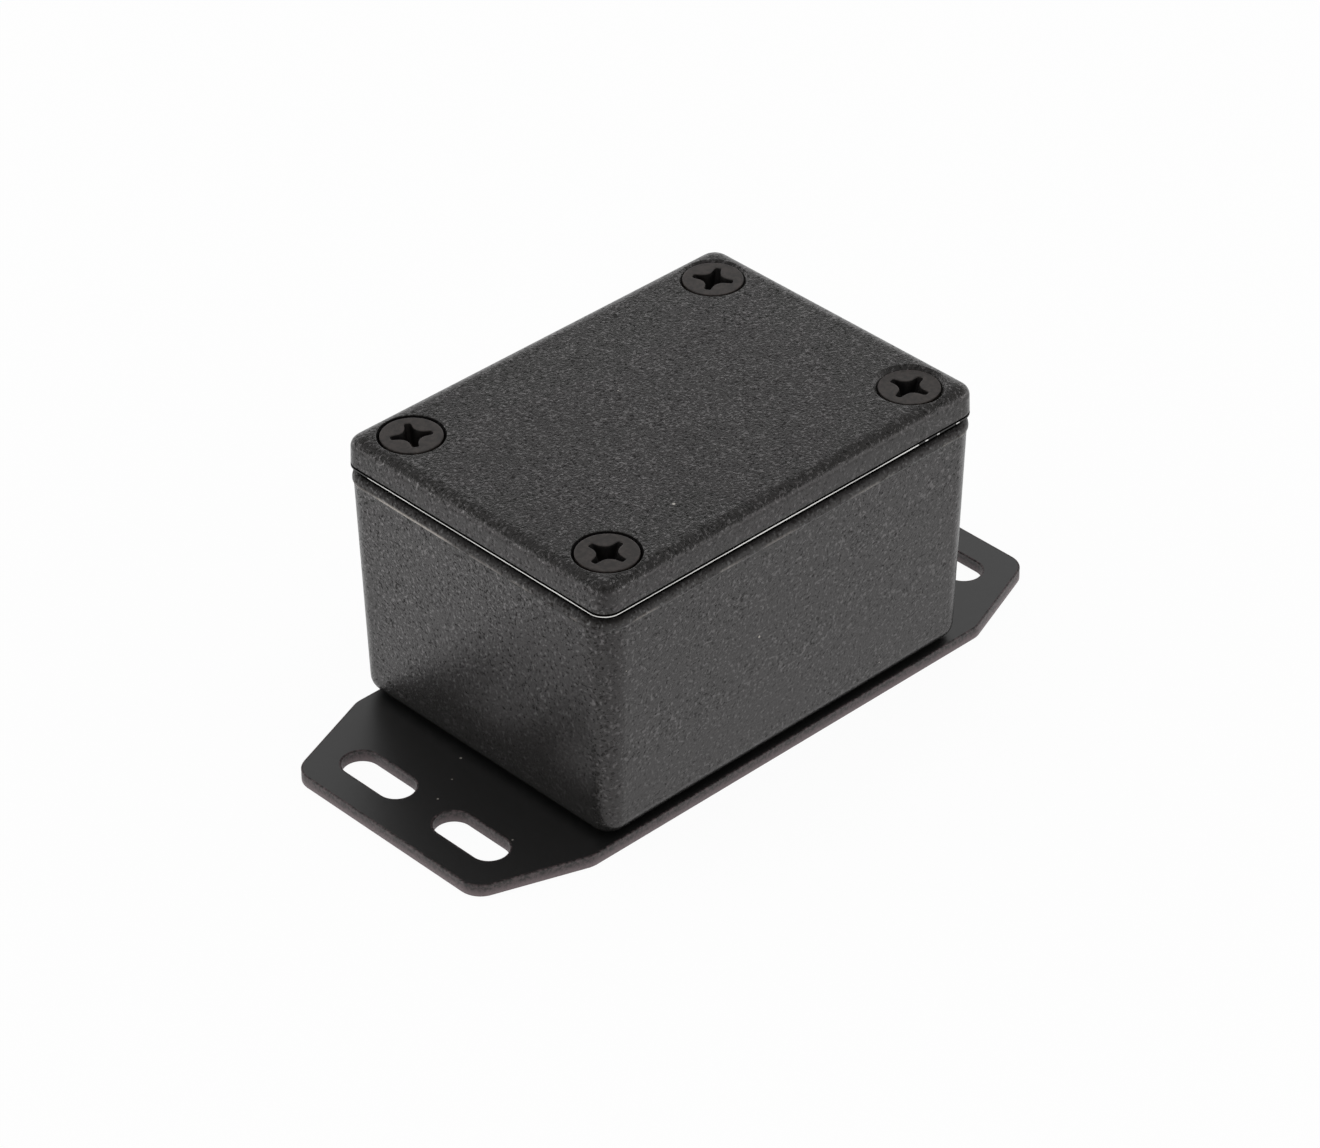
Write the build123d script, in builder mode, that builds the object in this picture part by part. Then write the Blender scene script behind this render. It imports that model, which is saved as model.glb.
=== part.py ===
"""Small die cast aluminium enclosure on a slotted mounting plate.

The origin is on the surface that the plate stands on, under the middle of the case.
X runs along the case, Y across it and Z up. All sizes are in millimetres and degrees.
"""
import os
from math import radians, tan

from build123d import *

os.makedirs("parts", exist_ok=True)

# Mounting plate, a flat sheet with tapered ends and two slots across each end
plate_length = 79.7
plate_width = 35.8
plate_taper_length = 12.05
plate_end_width = 27.0
plate_thickness = 1.4
plate_end_radius = 2.6
plate_side_radius = 3.0
plate_shift = 0.9
slot_length = 9.5
slot_width = 4.1
slot_spacing = 14.0
slot_end_distance = 5.55

# Case, measured over its drafted wall just under the rim
case_length = 52.8
case_width = 38.7
case_height = 28.0
case_corner_radius = 3.1
case_draft = 1.8
bottom_edge_radius = 1.9
wall_thickness = 2.4
floor_thickness = 2.2
boss_radius = 4.0

# Rim of the case, which stands out from the wall and leans in to a flat land for the lid
rim_height = 1.6
rim_step = 0.15
rim_draft = 3.5

# Tongue on the land, the lid's groove around it and the gasket between them
tongue_height = 1.2
tongue_thickness = 0.8
joint_clearance = 0.12
groove_rib_thickness = 0.8
groove_rib_height = 1.2
gasket_clearance = 0.05

# Card guides, pairs of upright ribs on the long walls
guide_rib_width = 1.0
guide_rib_depth = 1.2
guide_gap = 1.8
guide_spacing = 20.0
guide_top_margin = 3.0

# Lid
lid_inset = 0.3
lid_height = 3.4
lid_draft = 2.0
lid_corner_radius = 2.0
lid_edge_radius = 1.2
lid_ceiling_thickness = 1.5

# Lid screws, flat heads with a cross recess
screw_inset_x = 5.25
screw_inset_y = 5.05
screw_diameter = 3.5
screw_length = 12.7
head_diameter = 6.5
head_rim_height = 0.3
head_angle = 82.0
head_seat_clearance = 0.03
shank_clearance = 0.08
tapped_hole_depth = 11.0
recess_span = 4.3
recess_arm_width = 1.05
recess_corner_chamfer = 0.45
recess_depth = 1.2

# Each lid screw's corner, the turn of its recess and how far its head is sunk
lid_screws = (
    (-1, -1, 8.0, 0.05),
    (1, -1, 11.0, 0.25),
    (-1, 1, 60.0, 0.05),
    (1, 1, 30.0, 0.1),
)

# Plate screws, two small countersunk screws up into opposite bosses
plate_screw_inset = 6.4
plate_screw_diameter = 2.5
plate_screw_length = 6.0
plate_screw_head_diameter = 4.5
plate_screw_head_rim = 0.1
plate_screw_head_angle = 90.0
plate_screw_sink = 0.1
plate_screw_hole_extra = 1.0
plate_screw_recess_span = 2.5
plate_screw_recess_arm_width = 0.6
plate_screw_recess_depth = 0.8

# Heights and sizes that follow from the driving dimensions
joint_height = plate_thickness + case_height
lid_top = joint_height + lid_height
rim_bottom = joint_height - rim_height
floor_top = plate_thickness + floor_thickness
cavity_length = case_length - 2 * wall_thickness
cavity_width = case_width - 2 * wall_thickness
lid_length = case_length + 2 * (rim_step - lid_inset)
lid_width = case_width + 2 * (rim_step - lid_inset)
groove_root = lid_top - lid_ceiling_thickness
gasket_thickness = groove_root - joint_height - tongue_height - gasket_clearance
plate_straight_length = plate_length - 2 * plate_taper_length
slot_row_spacing = plate_length - 2 * slot_end_distance
screw_spacing_x = case_length - 2 * screw_inset_x
screw_spacing_y = case_width - 2 * screw_inset_y
plate_screw_x = case_length / 2 - plate_screw_inset
plate_screw_y = case_width / 2 - plate_screw_inset
plate_screw_places = ((-plate_screw_x, plate_screw_y), (plate_screw_x, -plate_screw_y))
screw_radius = screw_diameter / 2
head_radius = head_diameter / 2
on_edge = 0.01


def cone_height(large_radius, small_radius, angle):
    """Height of a countersunk head's cone with this included angle."""
    return (large_radius - small_radius) / tan(radians(angle / 2))


def countersink_radius(head_r, rim, sink, angle):
    """Radius, at the surface, of the countersink that seats a head sunk this far."""
    return head_r + head_seat_clearance + (rim + sink) * tan(radians(angle / 2))


# Outline of the cavity at the land: a rectangle with the four corner bosses left standing
boss_reach_x = cavity_length / 2 - screw_spacing_x / 2 + boss_radius
boss_reach_y = cavity_width / 2 - screw_spacing_y / 2 + boss_radius

with BuildSketch() as cavity_outline:
    Rectangle(cavity_length, cavity_width)
    with GridLocations(cavity_length, cavity_width, 2, 2):
        Rectangle(2 * boss_reach_x, 2 * boss_reach_y, mode=Mode.SUBTRACT)
    boss_corners = cavity_outline.vertices().filter_by(
        lambda v: abs(v.X) < cavity_length / 2 - on_edge and abs(v.Y) < cavity_width / 2 - on_edge
    )
    fillet(boss_corners, radius=boss_radius)


# Mounting plate
with BuildPart() as mounting_plate:
    with BuildSketch(Plane((0, -plate_shift, 0))) as plate_outline:
        with BuildLine():
            Polyline(
                (0, plate_width / 2),
                (plate_straight_length / 2, plate_width / 2),
                (plate_length / 2, plate_end_width / 2),
                (plate_length / 2, 0),
            )
            mirror(about=Plane.XZ)
            mirror(about=Plane.YZ)
        make_face()
        end_corners = plate_outline.vertices().filter_by(
            lambda v: abs(v.X) > plate_length / 2 - on_edge and abs(v.Y) > on_edge
        )
        fillet(end_corners, radius=plate_end_radius)
        side_corners = plate_outline.vertices().filter_by(
            lambda v: abs(v.Y) > plate_width / 2 - on_edge and abs(v.X) > on_edge
        )
        fillet(side_corners, radius=plate_side_radius)
        with GridLocations(slot_row_spacing, slot_spacing, 2, 2):
            SlotOverall(slot_length, slot_width, rotation=90, mode=Mode.SUBTRACT)
    extrude(amount=plate_thickness)
    with Locations(Plane((0, 0, 0), z_dir=(0, 0, -1))):
        with Locations(*plate_screw_places):
            CounterSinkHole(
                radius=plate_screw_diameter / 2 + shank_clearance,
                counter_sink_radius=countersink_radius(
                    plate_screw_head_diameter / 2, plate_screw_head_rim,
                    plate_screw_sink, plate_screw_head_angle,
                ),
                depth=plate_thickness,
                counter_sink_angle=plate_screw_head_angle,
            )

mounting_plate.part.label = "mounting_plate"
export_step(mounting_plate.part, "parts/mounting_plate.step")


# Base of the case
with BuildPart() as enclosure_base:
    with BuildSketch(Plane.XY.offset(rim_bottom)):
        RectangleRounded(case_length, case_width, case_corner_radius)
    extrude(amount=plate_thickness - rim_bottom, taper=case_draft)
    fillet(enclosure_base.faces().sort_by(Axis.Z)[0].edges(), radius=bottom_edge_radius)
    with BuildSketch(Plane.XY.offset(rim_bottom)):
        RectangleRounded(
            case_length + 2 * rim_step, case_width + 2 * rim_step, case_corner_radius + rim_step
        )
    extrude(amount=rim_height, taper=rim_draft)

    with BuildSketch(Plane.XY.offset(joint_height)):
        add(cavity_outline.sketch)
        offset(amount=tongue_thickness, kind=Kind.INTERSECTION)
    extrude(amount=tongue_height)
    with BuildSketch(Plane.XY.offset(floor_top)):
        add(cavity_outline.sketch)
    extrude(amount=joint_height + tongue_height - floor_top, mode=Mode.SUBTRACT)

    guide_rib_reach = guide_rib_depth + wall_thickness / 2
    guide_rib_middle = cavity_width / 2 - guide_rib_depth + guide_rib_reach / 2
    with BuildSketch(Plane.XY.offset(floor_top)):
        with GridLocations(guide_spacing, 2 * guide_rib_middle, 2, 2):
            with GridLocations(guide_gap + guide_rib_width, 0, 2, 1):
                Rectangle(guide_rib_width, guide_rib_reach)
    extrude(amount=joint_height - guide_top_margin - floor_top)

    with Locations((0, 0, joint_height)):
        with GridLocations(screw_spacing_x, screw_spacing_y, 2, 2):
            Hole(radius=screw_radius + shank_clearance, depth=tapped_hole_depth)
    with Locations(Plane((0, 0, plate_thickness), z_dir=(0, 0, -1))):
        with Locations(*plate_screw_places):
            Hole(
                radius=plate_screw_diameter / 2 + shank_clearance,
                depth=plate_screw_length - plate_thickness + plate_screw_hole_extra,
            )

enclosure_base.part.label = "enclosure_base"
export_step(enclosure_base.part, "parts/enclosure_base.step")


# Lid
with BuildPart() as enclosure_lid:
    with BuildSketch(Plane.XY.offset(joint_height)):
        RectangleRounded(lid_length, lid_width, lid_corner_radius)
    extrude(amount=lid_height, taper=lid_draft)
    fillet(enclosure_lid.faces().sort_by(Axis.Z)[-1].edges(), radius=lid_edge_radius)

    with BuildSketch(Plane.XY.offset(joint_height)):
        add(cavity_outline.sketch)
        offset(amount=tongue_thickness + joint_clearance, kind=Kind.INTERSECTION)
    extrude(amount=groove_root - joint_height, mode=Mode.SUBTRACT)

    with BuildSketch(Plane.XY.offset(groove_root - groove_rib_height)):
        with BuildSketch(mode=Mode.PRIVATE) as rib_inside:
            add(cavity_outline.sketch)
            offset(amount=-joint_clearance - groove_rib_thickness, kind=Kind.INTERSECTION)
        add(cavity_outline.sketch)
        offset(amount=-joint_clearance, kind=Kind.INTERSECTION)
        add(rib_inside.sketch, mode=Mode.SUBTRACT)
    extrude(amount=groove_rib_height)

    for side_x, side_y, turn, sink in lid_screws:
        with Locations((side_x * screw_spacing_x / 2, side_y * screw_spacing_y / 2, lid_top)):
            CounterSinkHole(
                radius=screw_radius + shank_clearance,
                counter_sink_radius=countersink_radius(
                    head_radius, head_rim_height, sink, head_angle
                ),
                depth=lid_height,
                counter_sink_angle=head_angle,
            )

enclosure_lid.part.label = "enclosure_lid"
export_step(enclosure_lid.part, "parts/enclosure_lid.step")


# Gasket at the root of the lid's groove
with BuildPart() as lid_gasket:
    with BuildSketch(Plane.XY.offset(groove_root - gasket_thickness)):
        with BuildSketch(mode=Mode.PRIVATE) as gasket_inside:
            add(cavity_outline.sketch)
            offset(amount=gasket_clearance - joint_clearance, kind=Kind.INTERSECTION)
        add(cavity_outline.sketch)
        offset(
            amount=tongue_thickness + joint_clearance - gasket_clearance,
            kind=Kind.INTERSECTION,
        )
        add(gasket_inside.sketch, mode=Mode.SUBTRACT)
    extrude(amount=gasket_thickness)

lid_gasket.part.label = "lid_gasket"
export_step(lid_gasket.part, "parts/lid_gasket.step")


def screw_section(head_r, rim, angle, shank_r, length):
    """Half section of a countersunk screw, with its head's face at the origin."""
    cone_end = -rim - cone_height(head_r, shank_r, angle)
    with BuildSketch() as section:
        with BuildLine():
            Polyline(
                (0, 0),
                (head_r, 0),
                (head_r, -rim),
                (shank_r, cone_end),
                (shank_r, -length),
                (0, -length),
                close=True,
            )
        make_face()
    return section.sketch


def recess_outline(span, arm_width, corner_chamfer):
    """Cross of two equal arms, with the four inner corners cut back."""
    with BuildSketch() as cross:
        Rectangle(span, arm_width)
        Rectangle(arm_width, span)
        inner_corners = cross.vertices().filter_by(lambda v: max(abs(v.X), abs(v.Y)) < arm_width)
        chamfer(inner_corners, length=corner_chamfer)
    return cross.sketch


# Lid screws, one at each corner
for number, (side_x, side_y, turn, sink) in enumerate(lid_screws, start=1):
    head_centre = (side_x * screw_spacing_x / 2, side_y * screw_spacing_y / 2, lid_top - sink)
    with BuildPart() as lid_screw:
        with BuildSketch(Plane(head_centre, x_dir=(1, 0, 0), z_dir=(0, -1, 0))):
            add(
                screw_section(
                    head_radius, head_rim_height, head_angle, screw_radius, screw_length
                )
            )
        revolve(axis=Axis(head_centre, (0, 0, 1)))
        with BuildSketch(Plane(head_centre).rotated((0, 0, turn))):
            add(recess_outline(recess_span, recess_arm_width, recess_corner_chamfer))
        extrude(amount=-recess_depth, mode=Mode.SUBTRACT)

    lid_screw.part.label = f"lid_screw_{number}"
    export_step(lid_screw.part, f"parts/lid_screw_{number}.step")


# Plate screws, two alike, driven up through the plate into the bosses
with BuildPart() as plate_screw:
    with BuildSketch(Plane.XZ):
        add(
            screw_section(
                plate_screw_head_diameter / 2, plate_screw_head_rim, plate_screw_head_angle,
                plate_screw_diameter / 2, plate_screw_length,
            )
        )
    revolve(axis=Axis.Z)
    with BuildSketch():
        Rectangle(plate_screw_recess_span, plate_screw_recess_arm_width)
        Rectangle(plate_screw_recess_arm_width, plate_screw_recess_span)
    extrude(amount=-plate_screw_recess_depth, mode=Mode.SUBTRACT)

with BuildPart() as plate_screws:
    with Locations(Plane((0, 0, plate_screw_sink), z_dir=(0, 0, -1))):
        with Locations(*plate_screw_places):
            add(plate_screw.part)

plate_screws.part.label = "plate_screws"
export_step(plate_screws.part, "parts/plate_screws.step")
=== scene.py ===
# %% [markdown]
# # A small die cast enclosure on a slotted plate
# The real object is a box of cast aluminium with a black powder coat. Four black
# screws hold its lid, and a flat steel plate with slots carries it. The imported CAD
# model gives every size and place. This script dresses it: each CAD node is
# replaced by a piece with rounded edges and a finish, and nothing grows past it.

# %% Load the frame
from math import atan2, cos, hypot, pi, radians, sin, sqrt, tan

import bmesh
import bpy
from mathutils import Matrix, Vector


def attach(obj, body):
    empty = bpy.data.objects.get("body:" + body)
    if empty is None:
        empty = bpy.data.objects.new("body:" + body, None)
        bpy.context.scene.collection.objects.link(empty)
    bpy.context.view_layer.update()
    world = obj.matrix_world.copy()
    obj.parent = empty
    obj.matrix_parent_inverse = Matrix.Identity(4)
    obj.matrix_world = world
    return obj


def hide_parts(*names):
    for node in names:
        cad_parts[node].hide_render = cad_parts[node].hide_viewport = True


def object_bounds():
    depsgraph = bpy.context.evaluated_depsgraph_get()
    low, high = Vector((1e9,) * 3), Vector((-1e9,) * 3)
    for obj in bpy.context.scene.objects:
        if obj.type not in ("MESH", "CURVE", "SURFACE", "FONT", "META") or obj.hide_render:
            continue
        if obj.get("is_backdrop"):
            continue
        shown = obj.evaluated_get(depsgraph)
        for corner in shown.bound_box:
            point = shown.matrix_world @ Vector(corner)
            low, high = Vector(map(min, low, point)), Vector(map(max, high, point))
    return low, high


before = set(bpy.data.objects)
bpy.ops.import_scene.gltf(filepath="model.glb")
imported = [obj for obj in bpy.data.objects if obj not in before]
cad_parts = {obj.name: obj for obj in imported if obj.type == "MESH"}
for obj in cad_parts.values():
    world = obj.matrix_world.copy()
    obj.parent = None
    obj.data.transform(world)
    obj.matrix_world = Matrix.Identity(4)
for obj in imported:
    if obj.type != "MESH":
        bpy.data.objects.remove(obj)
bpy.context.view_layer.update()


def in_mm(lengths):
    """Lengths in metres as rounded millimetres, for the printed lines."""
    return [round(length * 1000, 2) for length in lengths]


# %% [markdown]
# ## Sizes
# The lengths are the CAD model's own, in millimetres, because a caster and a press
# shop work in them. Blender works in metres, so one factor turns them at the end.
# Places are measured from the middle of the case, on the surface under the plate.

# %% Sizes in millimetres
MM = 0.001

PLATE_LENGTH, PLATE_WIDTH, PLATE_THICKNESS = 79.7, 35.8, 1.4
PLATE_STRAIGHT, PLATE_END_WIDTH, PLATE_SHIFT = 55.6, 27.0, -0.9
PLATE_END_RADIUS, PLATE_SIDE_RADIUS = 2.6, 3.0
SLOT_LENGTH, SLOT_WIDTH, SLOT_SPACING, SLOT_ROWS = 9.5, 4.1, 14.0, 68.6

CASE_LENGTH, CASE_WIDTH, CASE_RADIUS, CASE_DRAFT = 52.8, 38.7, 3.1, radians(1.8)
BOTTOM_ROUND = 1.9
JOINT = 29.4
RIM_BOTTOM, RIM_STEP = 27.8, 0.15
FLOOR_TOP = 3.6
CAVITY_LENGTH, CAVITY_WIDTH, CAVITY_CORNER = 48.0, 33.9, 0.5
TONGUE_TOP, TONGUE_THICKNESS, GROOVE_GAP = 30.6, 0.8, 0.12
RIB_TOP, RIB_DEPTH = 26.4, 1.2

LID_LENGTH, LID_WIDTH, LID_RADIUS, LID_DRAFT = 52.5, 38.4, 2.0, radians(2.0)
LID_TOP, LID_ROUND, GROOVE_ROOT, GROOVE_RIB_LOW = 32.8, 1.2, 31.3, 30.1

SCREW_X, SCREW_Y, BOSS_RADIUS = 21.15, 14.3, 4.0
HEAD_RADIUS, HEAD_RIM, HEAD_SLOPE, SEAT_GAP = 3.25, 0.3, radians(41.0), 0.03
SCREW_RADIUS, SCREW_LENGTH, HOLE_RADIUS, TAPPED_DEPTH = 1.75, 12.7, 1.83, 11.0
PLATE_SCREW_RADIUS, PLATE_SCREW_LENGTH, PLATE_SCREW_SINK = 1.25, 6.0, 0.1
PLATE_HEAD_RADIUS, PLATE_HOLE_RADIUS, PLATE_HOLE_DEPTH = 2.25, 1.33, 5.7
PLATE_SINK_RADIUS, PLATE_SINK_DEPTH = 2.38, 1.05
PLATE_SCREW_PLACES = ((-20.0, -12.95), (20.0, 12.95))

# Each lid screw's place, the turn of its recess and how far its head is sunk
LID_SCREWS = {
    "screw_1": (-SCREW_X, -SCREW_Y, 8.0, 0.05),
    "screw_2": (SCREW_X, -SCREW_Y, 11.0, 0.25),
    "screw_3": (-SCREW_X, SCREW_Y, 60.0, 0.05),
    "screw_4": (SCREW_X, SCREW_Y, 30.0, 0.1),
}
print("Lid screws:", len(LID_SCREWS))

# %% [markdown]
# ## Outlines that grow and shrink
# Case, lid, cavity, plate and slots are all polygons with rounded corners, and a
# cast or coated edge is the same outline again, a little smaller. An Offset
# modifier on a curve could do it, but it changes the number of points. Here the
# corners are moved and their arcs drawn anew with the same number of points, so
# that any two outlines can be joined by clean four-sided faces.

# %% Outline of a polygon with rounded corners
def outline(corners, radii, grow=0.0, steps=10):
    """Points round a polygon, counter-clockwise, moved outward by grow."""
    points = []
    count = len(corners)
    for i in range(count):
        before, here, after = (Vector(corners[(i + k) % count]) for k in (-1, 0, 1))
        way_in, way_out = (here - before).normalized(), (after - here).normalized()
        out_in, out_out = Vector((way_in.y, -way_in.x)), Vector((way_out.y, -way_out.x))
        moved = here + (out_in + out_out) * grow / (1 + out_in.dot(out_out))
        turn = atan2(way_in.x * way_out.y - way_in.y * way_out.x, way_in.dot(way_out))
        side = 1 if turn > 0 else -1
        if radii[i] == 0:
            points.append(moved)
            continue
        # A corner that bends inward gets tighter as the outline grows
        radius = max(radii[i] + side * grow, 0.01)
        start = moved - way_in * radius * tan(abs(turn) / 2)
        centre = start - out_in * radius * side
        arm = start - centre
        for k in range(steps + 1):
            angle = turn * k / steps
            points.append(centre + Vector((
                arm.x * cos(angle) - arm.y * sin(angle),
                arm.x * sin(angle) + arm.y * cos(angle),
            )))
    return points


def rectangle(length, width, radius, grow=0.0, centre=(0.0, 0.0), steps=10):
    """Outline of a rectangle with four equal corners."""
    x, y = length / 2, width / 2
    corners = [(x, -y), (x, y), (-x, y), (-x, -y)]
    placed = [(cx + centre[0], cy + centre[1]) for cx, cy in corners]
    return outline(placed, [radius] * 4, grow, steps)


def circle(centre, radius, count=48):
    """Points round a circle, counter-clockwise."""
    return [
        Vector((centre[0] + radius * cos(2 * pi * k / count),
                centre[1] + radius * sin(2 * pi * k / count)))
        for k in range(count)
    ]


print("Points round the lid:", len(rectangle(LID_LENGTH, LID_WIDTH, LID_RADIUS)))

# %% [markdown]
# ## Skins made of rings
# A casting's surface is a stack of outlines at rising heights, closed by flat
# faces. Booleans could cut the same shape, but they leave slivers that spoil the
# light on a satin coat. Rings joined by bands give even faces, and the flat faces
# are filled between their own edges, holes and all.

# %% Rings, bands and flat faces
def ring(bm, points, height):
    """New vertices along an outline at one height."""
    return [bm.verts.new((p[0] * MM, p[1] * MM, height * MM)) for p in points]


def band(bm, first, second, finish=0):
    """Four-sided faces between two rings with the same number of vertices."""
    count = len(first)
    for k in range(count):
        following = (k + 1) % count
        face = bm.faces.new((first[k], first[following], second[following], second[k]))
        face.material_index = finish


def flat(bm, *rings, finish=0):
    """A flat face between one or more rings, the inner ones being holes."""
    edges = []
    for verts in rings:
        for k, vert in enumerate(verts):
            other = verts[(k + 1) % len(verts)]
            edges.append(bm.edges.get((vert, other)) or bm.edges.new((vert, other)))
    made = bmesh.ops.triangle_fill(bm, use_beauty=True, edges=edges)
    for face in made["geom"]:
        if isinstance(face, bmesh.types.BMFace):
            face.material_index = finish


def stack(bm, levels, finish=0, start=None):
    """Rings at each (points, height), joined by bands, on from start; gives the end rings."""
    rings = [start] if start else []
    rings += [ring(bm, points, height) for points, height in levels]
    for lower, upper in zip(rings, rings[1:]):
        band(bm, lower, upper, finish)
    return rings[0], rings[-1]


def quarter(radius, steps=5):
    """Points (along, up) of a quarter round, from its lower end to its upper end."""
    return [
        (radius * (1 - cos(pi / 2 * k / steps)), radius * sin(pi / 2 * k / steps))
        for k in range(steps + 1)
    ]


print("Points of a quarter round:", len(quarter(LID_ROUND)))

# %% [markdown]
# ## From rings to a piece
# Weighted normals keep the large flat faces flat to the light while their rounded
# edges shade smoothly. Edges sharper than 40 degrees stay crisp. The modifier is
# applied, so that the piece is a plain mesh.

# %% Turn a bmesh into a finished piece
def new_object(name, data):
    """An object with this data, in the scene."""
    obj = bpy.data.objects.new(name, data)
    bpy.context.scene.collection.objects.link(obj)
    return obj


def finished(obj):
    """Makes an object's evaluated mesh its own plain mesh, with its modifiers gone."""
    graph = bpy.context.evaluated_depsgraph_get()
    mesh = bpy.data.meshes.new_from_object(obj.evaluated_get(graph))
    obj.modifiers.clear()
    old, obj.data = obj.data, mesh
    bpy.data.meshes.remove(old)
    mesh.name = obj.name
    return obj


def piece(name, bm, finishes):
    """A new object from a bmesh, with its materials and smooth light on it."""
    bmesh.ops.recalc_face_normals(bm, faces=bm.faces)
    mesh = bpy.data.meshes.new(name)
    bm.to_mesh(mesh)
    bm.free()
    for finish in finishes:
        mesh.materials.append(finish)
    mesh.shade_smooth()
    mesh.set_sharp_from_angle(angle=radians(40))
    obj = new_object(name, mesh)
    obj.modifiers.new("even light", "WEIGHTED_NORMAL").keep_sharp = True
    finished(obj)
    print(name, "faces:", len(obj.data.polygons))
    return obj


print("Pieces are made by piece()")

# %% [markdown]
# ## One way to write materials
# Every finish here is a small tree of nodes. Colours are written as sRGB hex, as a
# paint card gives them, and turned to the linear values that the renderer mixes.
# One function adds a node and joins its inputs. The others stand for what every
# finish needs: sums, noise, smooth steps, distances and mixes.

# %% Helpers for materials
def linear(code):
    """Linear colour of an sRGB hex value such as 1E1D1C."""
    parts = [int(code[k:k + 2], 16) / 255 for k in (0, 2, 4)]
    return tuple(
        c / 12.92 if c <= 0.04045 else ((c + 0.055) / 1.055) ** 2.4 for c in parts
    ) + (1.0,)


def add(tree, kind, links=(), **values):
    """A new node with these settings and inputs. A linked node stands for its first output."""
    node = tree.nodes.new(kind)
    for key, value in values.items():
        name = key.replace("_", " ").lower()
        socket = next((s for s in node.inputs if s.name.lower() == name), None)
        if hasattr(node, key):
            setattr(node, key, value)
        elif socket is not None:
            socket.default_value = value
        else:
            raise KeyError(f"{kind} has no {key}")
    for target, source in links:
        tree.links.new(getattr(source, "outputs", [source])[0], node.inputs[target])
    return node


def new_material(name, **shader_values):
    """A material with its Principled shader; gives the tree, shader and coordinates."""
    material = bpy.data.materials.new(name)
    material.use_nodes = True
    tree = material.node_tree
    tree.nodes.clear()
    shader = add(tree, "ShaderNodeBsdfPrincipled", **shader_values)
    add(tree, "ShaderNodeOutputMaterial", [("Surface", shader)])
    place = add(tree, "ShaderNodeTexCoord").outputs["Object"]
    return material, tree, shader, place


def node_math(tree, operation, *operands):
    """A math node; each operand is a socket or a number. Gives its output."""
    node = add(tree, "ShaderNodeMath", operation=operation)
    for k, operand in enumerate(operands):
        if isinstance(operand, (int, float)):
            node.inputs[k].default_value = operand
        else:
            tree.links.new(operand, node.inputs[k])
    return node.outputs[0]


def weighted_sum(tree, parts):
    """Sum of several values, each times its weight."""
    total = 0.0
    for value, weight in parts:
        total = node_math(tree, "MULTIPLY_ADD", value, weight, total)
    return total


def noise(tree, place, size_mm, **values):
    """Noise whose cells have this size in millimetres; gives its value."""
    node = add(
        tree, "ShaderNodeTexNoise", [("Vector", place)], scale=1 / (size_mm * MM), **values
    )
    return node.outputs["Fac"]


def between(tree, value, low, high, at_low=0.0, at_high=1.0):
    """A smooth step of a value between low and high."""
    node = add(
        tree, "ShaderNodeMapRange", [("Value", value)], interpolation_type="SMOOTHSTEP",
        From_Min=low, From_Max=high, To_Min=at_low, To_Max=at_high,
    )
    return node.outputs[0]


def height_of(tree, place):
    """Height of a place, or of a direction, as its third coordinate."""
    return add(tree, "ShaderNodeSeparateXYZ", [(0, place)]).outputs["Z"]


def distance(tree, place, point_mm):
    """Distance in metres from a point given in millimetres."""
    node = add(tree, "ShaderNodeVectorMath", [(0, place)], operation="DISTANCE")
    node.inputs[1].default_value = [value * MM for value in point_mm]
    return node.outputs["Value"]


def mix_colours(tree, share, first, second):
    """Two colours mixed by a share; each is a socket or an sRGB hex value."""
    node = add(tree, "ShaderNodeMix", [(0, share)], data_type="RGBA")
    for key, colour in ((6, first), (7, second)):
        if isinstance(colour, str):
            node.inputs[key].default_value = linear(colour)
        else:
            tree.links.new(colour, node.inputs[key])
    return node.outputs[2]


def bump_by(tree, shader, height, depth_m):
    """Bumps a shader's surface by a height times this depth in metres."""
    node = add(tree, "ShaderNodeBump", [("Height", height)], strength=1.0, distance=depth_m)
    tree.links.new(node.outputs[0], shader.inputs["Normal"])


print("Middle grey as linear light:", round(linear("808080")[0], 3))

# %% [markdown]
# ## Textured black powder coat
# Charged black powder melts on the casting into a satin film about 0.1 mm thick. It
# sets with a grain of a quarter of a millimetre and with shallow pits and crests
# between. The eye sees almost only its sheen, so grain, pits and crests change the
# sheen as well as the relief. They are weaker on the long walls, on the lid's sides
# and low down. An image would show its edges, so noise in the piece's own
# coordinates draws it all.

# %% Powder coat
COAT_DARK, COAT_LIGHT, COAT_DUST = "171716", "232221", "A8A49C"

# Sizes in the coat in millimetres: grain, dimples, clouds of colour, calmer patches
GRAIN, DIMPLES, CLOUDS, PATCHES = 0.26, 0.34, 1.4, 9.0

# Specks of dust: place and radius in millimetres, and the size and speck of rarer ones
DUST = (
    (-10.8, -12.9, 32.8, 0.16), (-4.9, -19.0, 16.8, 0.13), (-26.5, 2.3, 1.4, 0.13),
    (-29.5, 0.3, 1.4, 0.09), (-32.7, -1.1, 1.4, 0.11), (-31.8, -11.3, 1.4, 0.09),
)
DUST_CELL, RARE_SPECK = 8.0, 0.08


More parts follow.
